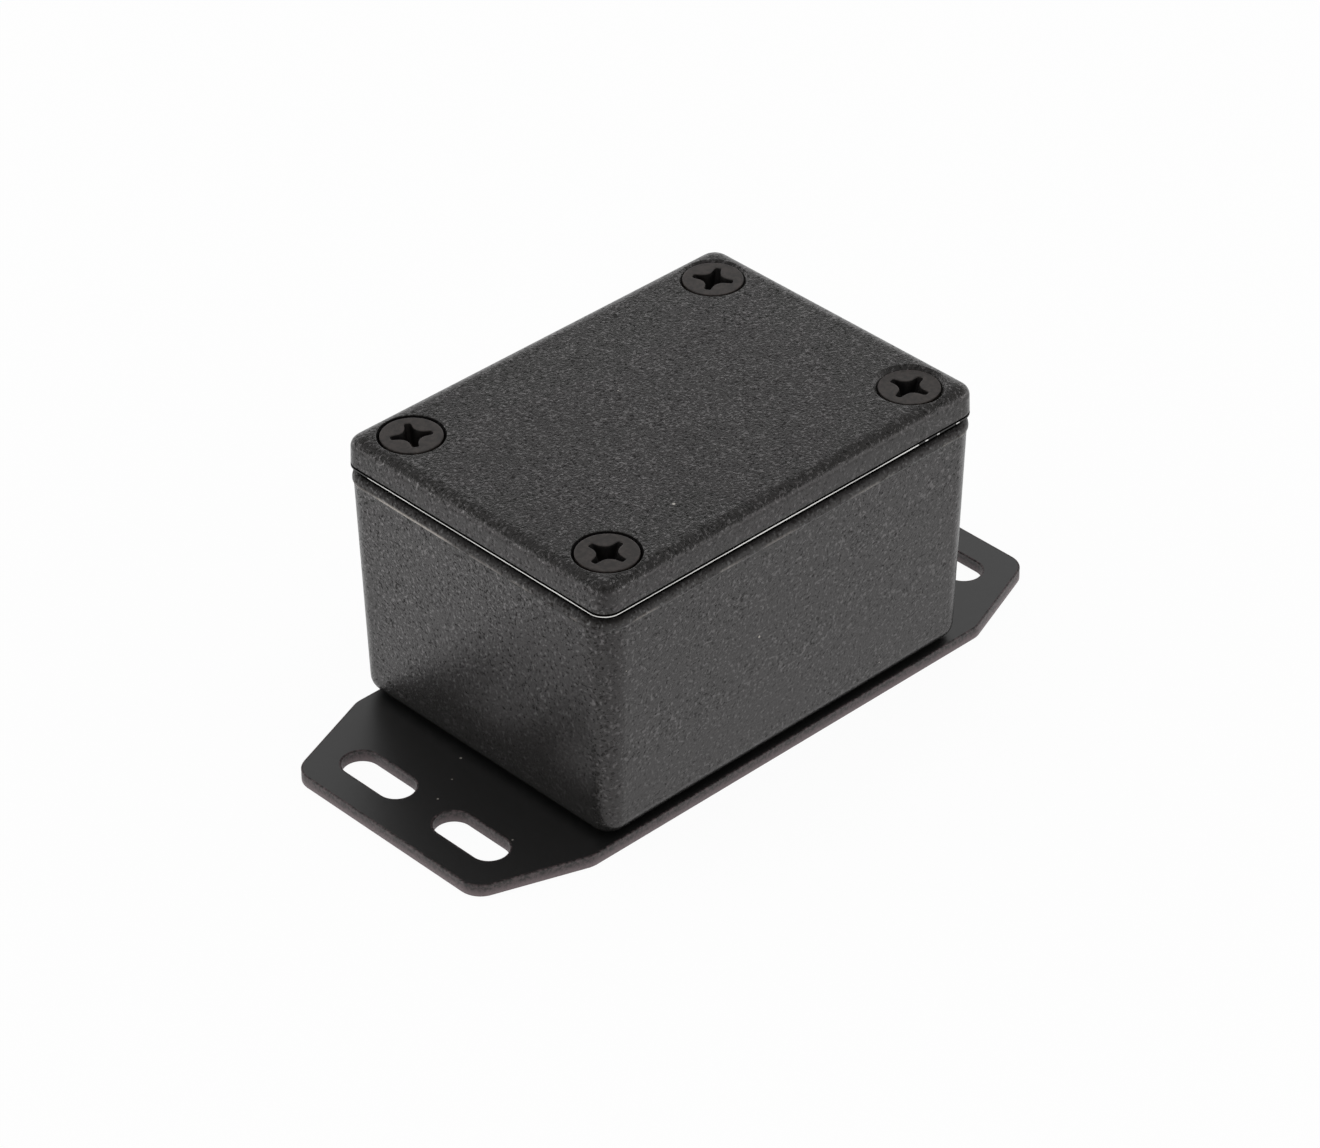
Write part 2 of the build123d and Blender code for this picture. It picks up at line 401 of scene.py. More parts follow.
def coat_strength(tree, place):
    """How strong the coat's texture is: less on long walls and on the lid's sides."""
    normal = add(tree, "ShaderNodeNewGeometry").outputs["Normal"]
    facing = add(tree, "ShaderNodeSeparateXYZ", [(0, normal)])
    height = height_of(tree, place)
    upright = between(tree, facing.outputs["Z"], 0.3, 0.9, 1.0, 0.0)
    on_lid = between(tree, height, (JOINT - 0.2) * MM, JOINT * MM)
    lid_side = node_math(tree, "MULTIPLY", upright, on_lid)
    calm = node_math(tree, "MULTIPLY_ADD", lid_side, -0.3, 1.0)
    along_y = node_math(tree, "ABSOLUTE", facing.outputs["Y"])
    long_wall = between(tree, along_y, 0.4, 0.9, 1.0, 0.66)
    patches = between(tree, noise(tree, place, PATCHES, detail=1.0), 0.3, 0.7, 0.85, 1.15)
    low_down = between(tree, height, 5 * MM, 24 * MM, 0.75, 1.0)
    return node_math(
        tree, "MULTIPLY", node_math(tree, "MULTIPLY", calm, long_wall),
        node_math(tree, "MULTIPLY", patches, low_down),
    )


def coat_relief(tree, place, shader, depth_m, sheen):
    """Joins the coat's relief and its varying sheen to a shader; gives the sheen."""
    strength = coat_strength(tree, place)
    grain = noise(tree, place, GRAIN, detail=2.0, roughness=0.55, distortion=0.4)
    # Noise seldom leaves its middle, so its rare highs and lows are drawn out
    swing = node_math(tree, "MULTIPLY_ADD", grain, 8.0, -4.0)
    tails = node_math(tree, "MULTIPLY_ADD", node_math(tree, "ABSOLUTE", swing), 0.22, 0.22)
    fine = node_math(tree, "MULTIPLY", swing, tails)
    dimples = noise(tree, place, DIMPLES, detail=0.0, distortion=0.5)
    pit = between(tree, dimples, 0.28, 0.37, 1.0, 0.0)
    crest = between(tree, dimples, 0.64, 0.73)
    uneven = weighted_sum(tree, [(fine, 1.0), (pit, -1.5), (crest, 1.3)])
    bump_by(tree, shader, node_math(tree, "MULTIPLY", uneven, strength), depth_m)
    glint = weighted_sum(tree, [(fine, 0.7), (pit, -0.8), (crest, 2.0)])
    varied = node_math(tree, "MULTIPLY", glint, strength)
    level = node_math(
        tree, "MAXIMUM", node_math(tree, "MULTIPLY_ADD", varied, sheen, sheen), sheen * 0.2
    )
    tree.links.new(level, shader.inputs["Specular IOR Level"])
    return level


def dust_share(tree, place):
    """1 on a speck of dust: the few that lie on the object, and rare ones all over."""
    cells = add(tree, "ShaderNodeTexVoronoi", [("Vector", place)], scale=1 / (DUST_CELL * MM))
    share = node_math(tree, "LESS_THAN", cells.outputs["Distance"], RARE_SPECK / DUST_CELL)
    for x, y, z, radius in DUST:
        near = node_math(tree, "LESS_THAN", distance(tree, place, (x, y, z)), radius * MM)
        share = node_math(tree, "MAXIMUM", near, share)
    return share


def coat_colour(tree, place, dark=COAT_DARK, light=COAT_LIGHT):
    """Colour of the coat: clouds between two near blacks, and specks of dust."""
    clouds = noise(tree, place, CLOUDS, detail=4.0, roughness=0.65)
    greys = mix_colours(tree, clouds, dark, light)
    return mix_colours(tree, dust_share(tree, place), greys, COAT_DUST)


powder_coat, tree, shader, place = new_material(
    "textured black powder coat", roughness=0.27, ior=1.5,
    Specular_Tint=(1.0, 0.955, 0.96, 1.0),
)
coat_relief(tree, place, shader, 0.000015, 0.485)
tree.links.new(coat_colour(tree, place), shader.inputs["Base Color"])
print("Powder coat nodes:", len(tree.nodes))

# %% [markdown]
# ## Bare aluminium
# The inside of a die casting is left as cast: a matt silver skin with soft grey
# flow marks. The land and the lid's foot are ground flat, so the foot's edge shows
# as a bright line round the joint. The powder creeps down it unevenly, and near some
# corners it covers the line, but for a few bare spots. Their places are object
# coordinates, so that the line stays where it is when the lid is lifted.

# %% Cast and ground aluminium
cast_aluminium, tree, shader, place = new_material(
    "die cast aluminium", metallic=1.0, roughness=0.5
)
flow = noise(tree, place, 6, detail=5.0, roughness=0.6, distortion=1.2)
tree.links.new(mix_colours(tree, flow, "8B8D90", "B9BBBD"), shader.inputs["Base Color"])
bump_by(tree, shader, noise(tree, place, 0.5, detail=3.0), 0.00001)

# Greatest height of the bare edge over the joint, in millimetres
BARE_EDGE = 0.17

# Corners where the coat runs over the edge, and how far from each, in millimetres
COATED_CORNERS = (((26.5, -19.4), 9.0), ((-26.5, 19.4), 4.2), ((26.5, 19.4), 6.5))

# Bare spots in the coat that runs over the near long side: place along it and radius
BARE_SPOTS = ((18.72, 0.22), (20.41, 0.18), (23.28, 0.25))


def coated_share(tree, place):
    """1 where the powder coat covers the ground metal, 0 where it is bare."""
    ragged = noise(tree, place, 1.2, detail=3.0)
    share = 0.0
    for (x, y), reach in COATED_CORNERS:
        edge = node_math(tree, "MULTIPLY_ADD", ragged, 2.0 * MM, (reach - 1.0) * MM)
        near = node_math(tree, "LESS_THAN", distance(tree, place, (x, y, JOINT)), edge)
        share = node_math(tree, "MAXIMUM", near, share)
    for x, radius in BARE_SPOTS:
        away = distance(tree, place, (x, -LID_WIDTH / 2, JOINT + 0.08))
        outside = node_math(tree, "GREATER_THAN", away, radius * MM)
        share = node_math(tree, "MULTIPLY", share, outside)
    creep = between(
        tree, noise(tree, place, 7.0, detail=4.0), 0.35, 0.7,
        (JOINT + BARE_EDGE * 0.6) * MM, (JOINT + BARE_EDGE) * MM,
    )
    crept = node_math(tree, "GREATER_THAN", height_of(tree, place), creep)
    return node_math(tree, "MAXIMUM", share, crept)


ground_land, tree, shader, place = new_material("ground aluminium land", roughness=0.42)
covered = coated_share(tree, place)
face_colour = mix_colours(tree, covered, "E2E1DE", coat_colour(tree, place))
tree.links.new(face_colour, shader.inputs["Base Color"])
metal = node_math(tree, "MULTIPLY_ADD", covered, -0.75, 0.75)
tree.links.new(metal, shader.inputs["Metallic"])
print("Coated corners:", len(COATED_CORNERS))

# %% [markdown]
# ## Coat on the trimmed rim, with painted shade and a painted highlight
# The rim was trimmed after casting, so its coat lies smoother. Its sheen and colour
# are turned down over the shoulder and most towards the narrow gap under the lid:
# painted shade where little light gets in. Low on the rim a faint pale line along
# its lower edge is a painted highlight, strongest in one place.

# %% Rim coat, with painted shade and highlight
# Where the painted highlight low on the rim is strongest, in millimetres
HIGHLIGHT_SPOT = (-26.5, 8.5, RIM_BOTTOM)
rim_coat_painted_light, tree, shader, place = new_material(
    "powder coat on the trimmed rim", roughness=0.4, ior=1.5
)
level = coat_relief(tree, place, shader, 0.000006, 0.45)
height = height_of(tree, place)
# Painted shade: the rim's sheen is turned down over its shoulder and towards the gap under the lid
painted_shade_dimming = node_math(
    tree, "MULTIPLY",
    between(tree, height, (RIM_BOTTOM + 0.35) * MM, (RIM_BOTTOM + 0.95) * MM, 1.0, 0.3),
    between(tree, height, (JOINT - 0.45) * MM, (JOINT - 0.25) * MM, 1.0, 0.1),
)
tree.links.new(node_math(tree, "MULTIPLY", level, painted_shade_dimming), shader.inputs["Specular IOR Level"])
# Painted highlight: a faint pale line low on the rim, strongest near one spot
low_in_rim = between(tree, height, (RIM_BOTTOM + 0.1) * MM, (RIM_BOTTOM + 0.4) * MM, 1.0, 0.0)
faint = between(tree, noise(tree, place, 4.0, detail=4.0), 0.46, 0.56, 0.0, 0.3)
painted_highlight_spot = between(tree, distance(tree, place, HIGHLIGHT_SPOT), 4.0 * MM, 7.0 * MM, 1.0, 0.0)
painted_edge_highlight = node_math(tree, "MULTIPLY", low_in_rim, node_math(tree, "MAXIMUM", faint, painted_highlight_spot))
with_painted_highlight = mix_colours(tree, painted_edge_highlight, coat_colour(tree, place, "181615", "24201F"), "A39C95")
# Painted shade: the rim's colour darkens towards the gap under the lid
painted_joint_shade = between(tree, height, (RIM_BOTTOM + 0.5) * MM, (JOINT - 0.2) * MM)
tree.links.new(mix_colours(tree, painted_joint_shade, with_painted_highlight, "0A0909"), shader.inputs["Base Color"])
print("Rim coat nodes:", len(tree.nodes))

# %% [markdown]
# ## Black oxide steel, sheet steel and rubber
# The screws are blackened steel: a thin brown-black oxide with a dull sheen. Their
# recesses get a darker, duller finish, painted shade deep in the hollow. The plate
# is sheet steel under a smoother, blacker coat than the castings', so it mirrors the
# case softly and shows dust. Where the press sheared it the coat is thin, rough and
# brownish, and paler low down, where it rubs on what it is fixed to. The gasket is
# matt silicone rubber.

# %% Screws, plate and gasket
def simple_finish(name, dark, light, grain_mm, bump_m, **shader_values):
    """A finish of two mixed shades with a fine relief, grain given in millimetres."""
    material, tree, shader, place = new_material(name, **shader_values)
    shades = noise(tree, place, grain_mm, detail=4.0, roughness=0.6)
    colour = mix_colours(tree, between(tree, shades, 0.36, 0.64), dark, light)
    tree.links.new(colour, shader.inputs["Base Color"])
    bump_by(tree, shader, shades, bump_m)
    return material, tree, shader, place, colour


oxide_steel, *_ = simple_finish(
    "black oxide steel", "221E1C", "352F2C", 0.5, 0.000006, roughness=0.42, metallic=0.15
)
# Painted shade: a darker, duller oxide for the faces deep in the screw recesses
oxide_with_painted_recess_shade, *_ = simple_finish(
    "black oxide deep in a recess", "0B0A0A", "141211", 0.5, 0.000006, roughness=0.6,
    Specular_IOR_Level=0.12,
)
plate_coat, tree, shader, place, colour = simple_finish(
    "satin black coat on sheet steel", "040404", "070707", 0.8, 0.000006,
    roughness=0.36, ior=1.95,
)
dusty = mix_colours(tree, dust_share(tree, place), colour, "8F8B84")
tree.links.new(dusty, shader.inputs["Base Color"])
sheared_edge, tree, shader, place, colour = simple_finish(
    "thinly coated sheared steel", "0F0C0B", "493E3F", 0.35, 0.00006, roughness=0.5
)
low_down = between(tree, height_of(tree, place), 0.15 * MM, 1.05 * MM, 0.85, 0.0)
tree.links.new(mix_colours(tree, low_down, colour, "716466"), shader.inputs["Base Color"])
silicone, *_ = simple_finish(
    "black silicone rubber", "111111", "1A1A1A", 1.0, 0.00001, roughness=0.6
)
print("Finishes:", len(bpy.data.materials))

# %% [markdown]
# ## The case
# The case is one casting: drafted walls with a round bottom edge, a rim that stands
# out from the wall and leans in, and inside it a cavity with four corner bosses,
# card guides and a tongue for the lid's groove. Its outer skin is the case's
# outline, shrunk by the draft at each height. The rim's top rounds over into a
# narrow gap under the lid, which, with painted shade in the rim's coat, makes the
# dark half of the joint line.

# %% Outlines of the cavity
CAVITY_X, CAVITY_Y = CAVITY_LENGTH / 2, CAVITY_WIDTH / 2
BOSS_X, BOSS_Y = SCREW_X - BOSS_RADIUS, SCREW_Y - BOSS_RADIUS
RIB_EDGES = [x for centre in (11.4, 8.6, -8.6, -11.4) for x in (centre + 0.5, centre - 0.5)]


def cavity(grow=0.0, guides=None):
    """The cavity's outline. Guides adds the card guides' roots, and tips if above 0."""
    top = []
    for k, x in enumerate(RIB_EDGES if guides is not None else []):
        step = [(x, CAVITY_Y, 0)]
        if guides:
            step.append((x, CAVITY_Y - guides, 0))
        top += step[::-1] if k % 2 else step
    half = [
        (CAVITY_X, BOSS_Y, CAVITY_CORNER), (BOSS_X, BOSS_Y, BOSS_RADIUS),
        (BOSS_X, CAVITY_Y, CAVITY_CORNER), *top, (-BOSS_X, CAVITY_Y, CAVITY_CORNER),
        (-BOSS_X, BOSS_Y, BOSS_RADIUS), (-CAVITY_X, BOSS_Y, CAVITY_CORNER),
    ]
    corners = half + [(-x, -y, radius) for x, y, radius in half]
    return outline([c[:2] for c in corners], [c[2] for c in corners], grow, steps=8)


print("Cavity outline:", len(cavity()), "points,", len(cavity(guides=RIB_DEPTH)), "with guides")

# %% Skin of the case
def case_outline(grow):
    """Outline of the case's wall at its top, moved outward by grow."""
    return rectangle(CASE_LENGTH, CASE_WIDTH, CASE_RADIUS, grow)


def wall_grow(height):
    """How far the drafted wall stands back at this height."""
    return -(RIM_BOTTOM - height) * tan(CASE_DRAFT)


# Places of the castings' finishes; a shaded face takes the rim's coat with its painted shade
COAT, LAND, CAST, RIM = 0, 1, 2, 3
SHADED = RIM

# The rim's round shoulder, and where the gap under the lid begins, ends and how deep
SHOULDER, SHOULDER_FOOT = 1.35, 0.12
GAP_OUTER, GAP_INNER, GAP_DEPTH = 0.44, 0.66, 0.42

# Small rounds and the thread in the tapped holes
TONGUE_ROUND, TAP_CHAMFER, TAP_HALF_PITCH, TAP_RIDGE = 0.12, 0.12, 0.3, 0.1

bm = bmesh.new()
levels = [
    (case_outline(wall_grow(PLATE_THICKNESS + BOTTOM_ROUND) - BOTTOM_ROUND + along),
     PLATE_THICKNESS + up)
    for up, along in quarter(BOTTOM_ROUND, 8)
]
levels += [
    (case_outline(wall_grow(RIM_BOTTOM - 0.25)), RIM_BOTTOM - 0.25),
    (case_outline(0.02), RIM_BOTTOM - 0.08),
]
bottom, wall_top = stack(bm, levels, COAT)
shoulder = [
    (case_outline(RIM_STEP - SHOULDER * (1 - cos(radians(tilt)))),
     RIM_BOTTOM + SHOULDER_FOOT + SHOULDER * sin(radians(tilt)))
    for tilt in range(0, 51, 5)
]
_, rim_top = stack(bm, [
    (case_outline(0.06), RIM_BOTTOM - 0.02),
    (case_outline(0.11), RIM_BOTTOM + 0.01),
    (case_outline(0.14), RIM_BOTTOM + 0.06),
] + shoulder + [
    (case_outline(-GAP_OUTER), JOINT - GAP_DEPTH),
    (case_outline(-GAP_INNER), JOINT - GAP_DEPTH - 0.02),
    (case_outline(-GAP_INNER), JOINT - 0.02),
], RIM, start=wall_top)
_, land_edge = stack(bm, [(case_outline(-GAP_INNER - 0.02), JOINT)], LAND, start=rim_top)

tongue_foot, tongue_top = stack(bm, [
    (cavity(TONGUE_THICKNESS), JOINT),
    (cavity(TONGUE_THICKNESS), TONGUE_TOP - TONGUE_ROUND),
    (cavity(TONGUE_THICKNESS - TONGUE_ROUND), TONGUE_TOP),
], CAST)
tapped_mouths = []
for x, y, turn, sink in LID_SCREWS.values():
    thread = [(circle((x, y), HOLE_RADIUS + TAP_CHAMFER, 32), JOINT)]
    thread += [
        (circle((x, y), HOLE_RADIUS + (0.0 if k % 2 else TAP_RIDGE), 32),
         JOINT - 0.2 - TAP_HALF_PITCH * k)
        for k in range(int((TAPPED_DEPTH - 0.5) / TAP_HALF_PITCH))
    ]
    mouth, blind = stack(bm, thread, CAST)
    flat(bm, blind, finish=CAST)
    tapped_mouths.append(mouth)
flat(bm, land_edge, tongue_foot, *tapped_mouths, finish=LAND)
print("Case skin so far:", len(bm.faces), "faces")

# %% Cavity, card guides and floor of the case
foot = ring(bm, cavity(guides=RIB_DEPTH), FLOOR_TOP)
guide_tops = ring(bm, cavity(guides=RIB_DEPTH), RIB_TOP)
band(bm, foot, guide_tops, CAST)
flat(bm, foot, finish=CAST)

# The guides end below the land: their tips get flat tops, and the wall goes on up
wall_points, tips = [], []
for k, vert in enumerate(guide_tops):
    off_wall = abs(vert.co.y) < (CAVITY_Y - RIB_DEPTH / 2) * MM
    if off_wall and abs(vert.co.x) <= (BOSS_X - 1e-4) * MM:
        tips.append(k)
    else:
        wall_points.append(vert)
for first, second in zip(tips[::2], tips[1::2]):
    face = bm.faces.new((
        guide_tops[first - 1], guide_tops[first], guide_tops[second],
        guide_tops[(second + 1) % len(guide_tops)],
    ))
    face.material_index = CAST
lip_low = ring(bm, cavity(guides=0), TONGUE_TOP - TONGUE_ROUND)
lip_high = ring(bm, cavity(0.1, guides=0), TONGUE_TOP)
band(bm, wall_points, lip_low, CAST)
band(bm, lip_low, lip_high, CAST)
flat(bm, tongue_top, lip_high, finish=CAST)
print("Points round the wall:", len(wall_points), "tips of the card guides:", len(tips))

# %% Underside of the case, with the plate screws' holes
hole_mouths = []
for centre in PLATE_SCREW_PLACES:
    mouth, blind = stack(bm, [
        (circle(centre, PLATE_HOLE_RADIUS, 24), PLATE_THICKNESS),
        (circle(centre, PLATE_HOLE_RADIUS, 24), PLATE_THICKNESS + PLATE_HOLE_DEPTH),
    ], CAST)
    flat(bm, blind, finish=CAST)
    hole_mouths.append(mouth)
flat(bm, bottom, *hole_mouths, finish=COAT)
CASTING_FINISHES = [powder_coat, ground_land, cast_aluminium, rim_coat_painted_light]
case = piece("enclosure_case", bm, CASTING_FINISHES)
print("Case size in mm:", in_mm(case.dimensions))

# %% [markdown]
# ## The lid
# The lid is a second casting: a shallow drafted tray with a generous round top
# edge. Its four countersunk holes cut into that edge, so the skin's height is a
# rule for each point, and the rings along the edge are moved clear of the holes.
# The coat rounds each hole's lip. Round the lid's foot runs a thin bare line, with
# a shallow dark one over it where the coat ends: a small step whose coat is darkened
# with painted shade. Underneath, a groove between the skirt and an inner rib takes
# the case's tongue.

# %% Skin of the lid
def lid_outline(grow):
    """Outline of the lid moved outward by grow, with points at most 0.6 mm apart."""
    points = rectangle(LID_LENGTH, LID_WIDTH, LID_RADIUS, grow)
    spread = []
    for k, here in enumerate(points):
        following = points[(k + 1) % len(points)]
        count = max(1, round((following - here).length / 0.6))
        spread += [here.lerp(following, share / count) for share in range(count)]
    return spread


def lid_grow(height):
    """How far the lid's drafted side stands back at this height."""
    return -(height - JOINT) * tan(LID_DRAFT)


# Round of a hole's lip, and the flat ring left beside it
LIP, LIP_RIM = 0.12, 0.06

# The edge's round is an ellipse: where it starts on the side, and how far in it goes
ROUND_LOW = LID_TOP - LID_ROUND
ROUND_REACH = LID_ROUND * 1.38

# Points this near to a hole's centre are moved out, those at the second one the most
CLEARED, CLEARED_FROM = 4.4, 3.0

# Inner rib of the groove
GROOVE_RIB, GROOVE_RIB_ROUND = 0.8, 0.15


def hole_radius(sink):
    """Radius of a screw hole where its countersink meets the lid's flat top."""
    return HEAD_RADIUS + SEAT_GAP + (HEAD_RIM + sink) * tan(HEAD_SLOPE)


def lid_height(point):
    """Height of the lid's skin: flat, with an elliptical round along the edge."""
    past_x = abs(point.x) - (LID_LENGTH / 2 - LID_RADIUS)
    past_y = abs(point.y) - (LID_WIDTH / 2 - LID_RADIUS)
    inset = LID_RADIUS + lid_grow(ROUND_LOW) - hypot(max(past_x, 0), max(past_y, 0))
    inset -= min(max(past_x, past_y), 0)
    share = min(max(inset / ROUND_REACH, 0.0), 1.0)
    return ROUND_LOW + LID_ROUND * sqrt(1 - (1 - share) ** 2)


def clear_of_holes(point):
    """A point of the rounded edge, moved aside where a screw hole cuts into it."""
    for x, y, turn, sink in LID_SCREWS.values():
        centre = Vector((x, y))
        arm = point - centre
        if arm.length < CLEARED:
            kept = hole_radius(sink) + LIP * 0.75 + LIP_RIM * 2
            share = (arm.length - CLEARED_FROM) / (CLEARED - CLEARED_FROM)
            return centre + arm.normalized() * (kept + (CLEARED - kept) * share)
    return point


def skin_ring(bm, points, drop=0.0):
    """New vertices on the lid's skin, or a little below it."""
    return [bm.verts.new((p.x * MM, p.y * MM, (lid_height(p) - drop) * MM)) for p in points]


# From the foot up: the bare line, the dark line over it in painted shade, and the coat
bm = bmesh.new()
under, foot_top = stack(bm, [
    (lid_outline(-0.02), JOINT),
    (lid_outline(0.0), JOINT + 0.02),
    (lid_outline(-0.005), JOINT + 0.16),
], LAND)
_, dark_top = stack(bm, [
    (lid_outline(-0.09), JOINT + 0.18),
    (lid_outline(-0.09), JOINT + 0.35),
    (lid_outline(-0.03), JOINT + 0.38),
], SHADED, start=foot_top)
_, above = stack(bm, [
    (lid_outline(-0.015), JOINT + 0.42),
    (lid_outline(lid_grow(ROUND_LOW)), ROUND_LOW),
], COAT, start=dark_top)
for along, up in quarter(ROUND_REACH, 14)[1:] + [(ROUND_REACH + 0.1, 0)]:
    outer = lid_outline(lid_grow(ROUND_LOW) - along)
    following = skin_ring(bm, [clear_of_holes(p) for p in outer])
    band(bm, above, following, COAT)
    above = following
mouths, ends = [], []
for x, y, turn, sink in LID_SCREWS.values():
    centre = (x, y)
    wide = hole_radius(sink)
    cone_depth = (wide - HOLE_RADIUS) / tan(HEAD_SLOPE)
    mouth = skin_ring(bm, circle(centre, wide + LIP * 0.75 + LIP_RIM))
    lip = mouth
    for k in range(4):
        bend = radians(49) * k / 3
        following = skin_ring(
            bm, circle(centre, wide + LIP * (0.75 - sin(bend))), LIP * (1 - cos(bend))
        )
        band(bm, lip, following, COAT)
        lip = following
    # The cones on the left show darker than the others, so they take the rim's coat with its
    # painted shade
    _, end = stack(bm, [
        (circle(centre, HEAD_RADIUS + SEAT_GAP), LID_TOP - sink - HEAD_RIM),
        (circle(centre, HOLE_RADIUS), LID_TOP - cone_depth),
        (circle(centre, HOLE_RADIUS), JOINT),
    ], SHADED if x < 0 else COAT, start=lip)
    mouths.append(mouth)
    ends.append(end)
flat(bm, above, *mouths, finish=COAT)
skirt_foot, skirt_root = stack(bm, [
    (cavity(TONGUE_THICKNESS + GROOVE_GAP), JOINT),
    (cavity(TONGUE_THICKNESS + GROOVE_GAP), GROOVE_ROOT),
], CAST)
flat(bm, under, skirt_foot, *ends, finish=CAST)
rib_root, rib_foot = stack(bm, [
    (cavity(-GROOVE_GAP), GROOVE_ROOT),
    (cavity(-GROOVE_GAP), GROOVE_RIB_LOW + GROOVE_RIB_ROUND),
    (cavity(-GROOVE_GAP - GROOVE_RIB_ROUND), GROOVE_RIB_LOW),
], CAST)
flat(bm, skirt_root, rib_root, finish=CAST)
rib_inner, ceiling = stack(bm, [
    (cavity(-GROOVE_GAP - GROOVE_RIB + GROOVE_RIB_ROUND), GROOVE_RIB_LOW),
    (cavity(-GROOVE_GAP - GROOVE_RIB), GROOVE_RIB_LOW + GROOVE_RIB_ROUND),
    (cavity(-GROOVE_GAP - GROOVE_RIB), GROOVE_ROOT),
], CAST)
flat(bm, rib_foot, rib_inner, finish=CAST)
flat(bm, ceiling, finish=CAST)
lid = piece("enclosure_cover", bm, CASTING_FINISHES)
print("Lid size in mm:", in_mm(lid.dimensions))

# %% [markdown]
# ## The mounting plate
# The plate is sheet steel, blanked and pierced in a press. The punch draws the top
# edge round a little and leaves a sheared face below it, with a slight burr at the
# foot, so the sides and the slots' walls have their own finish, up over the round.

# %% Mounting plate
def plate_outline(grow):
    """Outline of the plate, moved outward by grow."""
    x, y = PLATE_LENGTH / 2, PLATE_WIDTH / 2
    sx, ey = PLATE_STRAIGHT / 2, PLATE_END_WIDTH / 2
    half = [(x, -ey), (x, ey), (sx, y), (-sx, y)]
    corners = half + [(-px, -py) for px, py in half]
    radii = [PLATE_END_RADIUS] * 2 + [PLATE_SIDE_RADIUS] * 2
    return outline([(px, py + PLATE_SHIFT) for px, py in corners], radii * 2, grow, steps=8)


def slot_outline(centre, grow):
    """Outline of one slot, moved outward by grow."""
    return rectangle(SLOT_WIDTH, SLOT_LENGTH, SLOT_WIDTH / 2 - 0.001, grow, centre, steps=12)


FACE, SHEARED = 0, 1
ROLLED, BURR, FLAT_RIM = 0.12, 0.06, 0.1

# Profile of a pressed edge from the foot up: distance back from the outline, height
PRESSED = [
    (BURR + FLAT_RIM, 0.0), (BURR, 0.0), (0.0, BURR), (0.0, PLATE_THICKNESS * 0.45),
    (0.03, PLATE_THICKNESS * 0.55), (0.0, PLATE_THICKNESS - ROLLED),
]
PRESSED += [(back, PLATE_THICKNESS - ROLLED + up) for back, up in quarter(ROLLED, 5)[1:]]
PRESSED += [(ROLLED + FLAT_RIM, PLATE_THICKNESS)]


def pressed_edge(bm, outline_of):
    """The sheared side and rolled top edge along an outline; gives the end rings."""
    return stack(bm, [(outline_of(back), up) for back, up in PRESSED], SHEARED)


bm = bmesh.new()
low_edge, high_edge = pressed_edge(bm, lambda back: plate_outline(-back))
low_rings, high_rings = [low_edge], [high_edge]
for sx in (-1, 1):
    for sy in (-1, 1):
        centre = (sx * SLOT_ROWS / 2, PLATE_SHIFT + sy * SLOT_SPACING / 2)
        low, high = pressed_edge(bm, lambda back, at=centre: slot_outline(at, back))
        low_rings.append(low)
        high_rings.append(high)
for centre in PLATE_SCREW_PLACES:
    low, high = stack(bm, [
        (circle(centre, PLATE_SINK_RADIUS), 0.0),
        (circle(centre, PLATE_HOLE_RADIUS), PLATE_SINK_DEPTH),
        (circle(centre, PLATE_HOLE_RADIUS), PLATE_THICKNESS),
    ], FACE)
    low_rings.append(low)
    high_rings.append(high)
flat(bm, *low_rings, finish=FACE)
flat(bm, *high_rings, finish=FACE)
plate = piece("slotted_plate", bm, [plate_coat, sheared_edge])
print("Plate size in mm:", in_mm(plate.dimensions))

# %% [markdown]
# ## The gasket
# The gasket is one cord of silicone that follows the groove all the way round. A
# sweep along a path is what Geometry Nodes do well: the tree takes a closed edge
# loop, turns it into a curve and draws a rounded rectangle along it.

# %% A tree that sweeps a rounded strip along a loop
def geometry_tree(name, sockets):
    """A geometry tree with named inputs; gives the tree, those inputs and its end node."""
    tree = bpy.data.node_groups.new(name, "GeometryNodeTree")
    tree.interface.new_socket("Geometry", in_out="INPUT", socket_type="NodeSocketGeometry")
    for title, kind in sockets:
        tree.interface.new_socket(title, in_out="INPUT", socket_type="NodeSocket" + kind)
    tree.interface.new_socket("Geometry", in_out="OUTPUT", socket_type="NodeSocketGeometry")
    return tree, add(tree, "NodeGroupInput").outputs, add(tree, "NodeGroupOutput")


def run_tree(obj, tree, **inputs):
    """Gives an object the tree with these inputs, and turns the result into its mesh."""
    modifier = obj.modifiers.new(tree.name, "NODES")
    modifier.node_group = tree
    for item in tree.interface.items_tree:
        key = item.name.replace(" ", "_").lower()
        if item.in_out == "INPUT" and key in inputs:
            modifier[item.identifier] = inputs[key]
    return finished(obj)


sweep, given, out = geometry_tree("strip along a loop", [
    ("Width", "Float"), ("Height", "Float"), ("Rounding", "Float"), ("Finish", "Material"),
])
path = add(sweep, "GeometryNodeMeshToCurve", [(0, given["Geometry"])])
upright = add(sweep, "GeometryNodeSetCurveNormal", [(0, path)], mode="Z_UP")
section = add(sweep, "GeometryNodeCurvePrimitiveQuadrilateral", [
    ("Width", given["Width"]), ("Height", given["Height"]),
])
eased = add(sweep, "GeometryNodeFilletCurve", [
    (0, section), ("Radius", given["Rounding"]),
], mode="POLY", Count=3)
swept = add(sweep, "GeometryNodeCurveToMesh", [(0, upright), (1, eased)])
smooth = add(sweep, "GeometryNodeSetShadeSmooth", [(0, swept)])
real = add(sweep, "GeometryNodeRealizeInstances", [(0, smooth)])
coated = add(sweep, "GeometryNodeSetMaterial", [(0, real), ("Material", given["Finish"])])
sweep.links.new(coated.outputs[0], out.inputs[0])
print("Sweep tree:", len(sweep.nodes), "nodes")

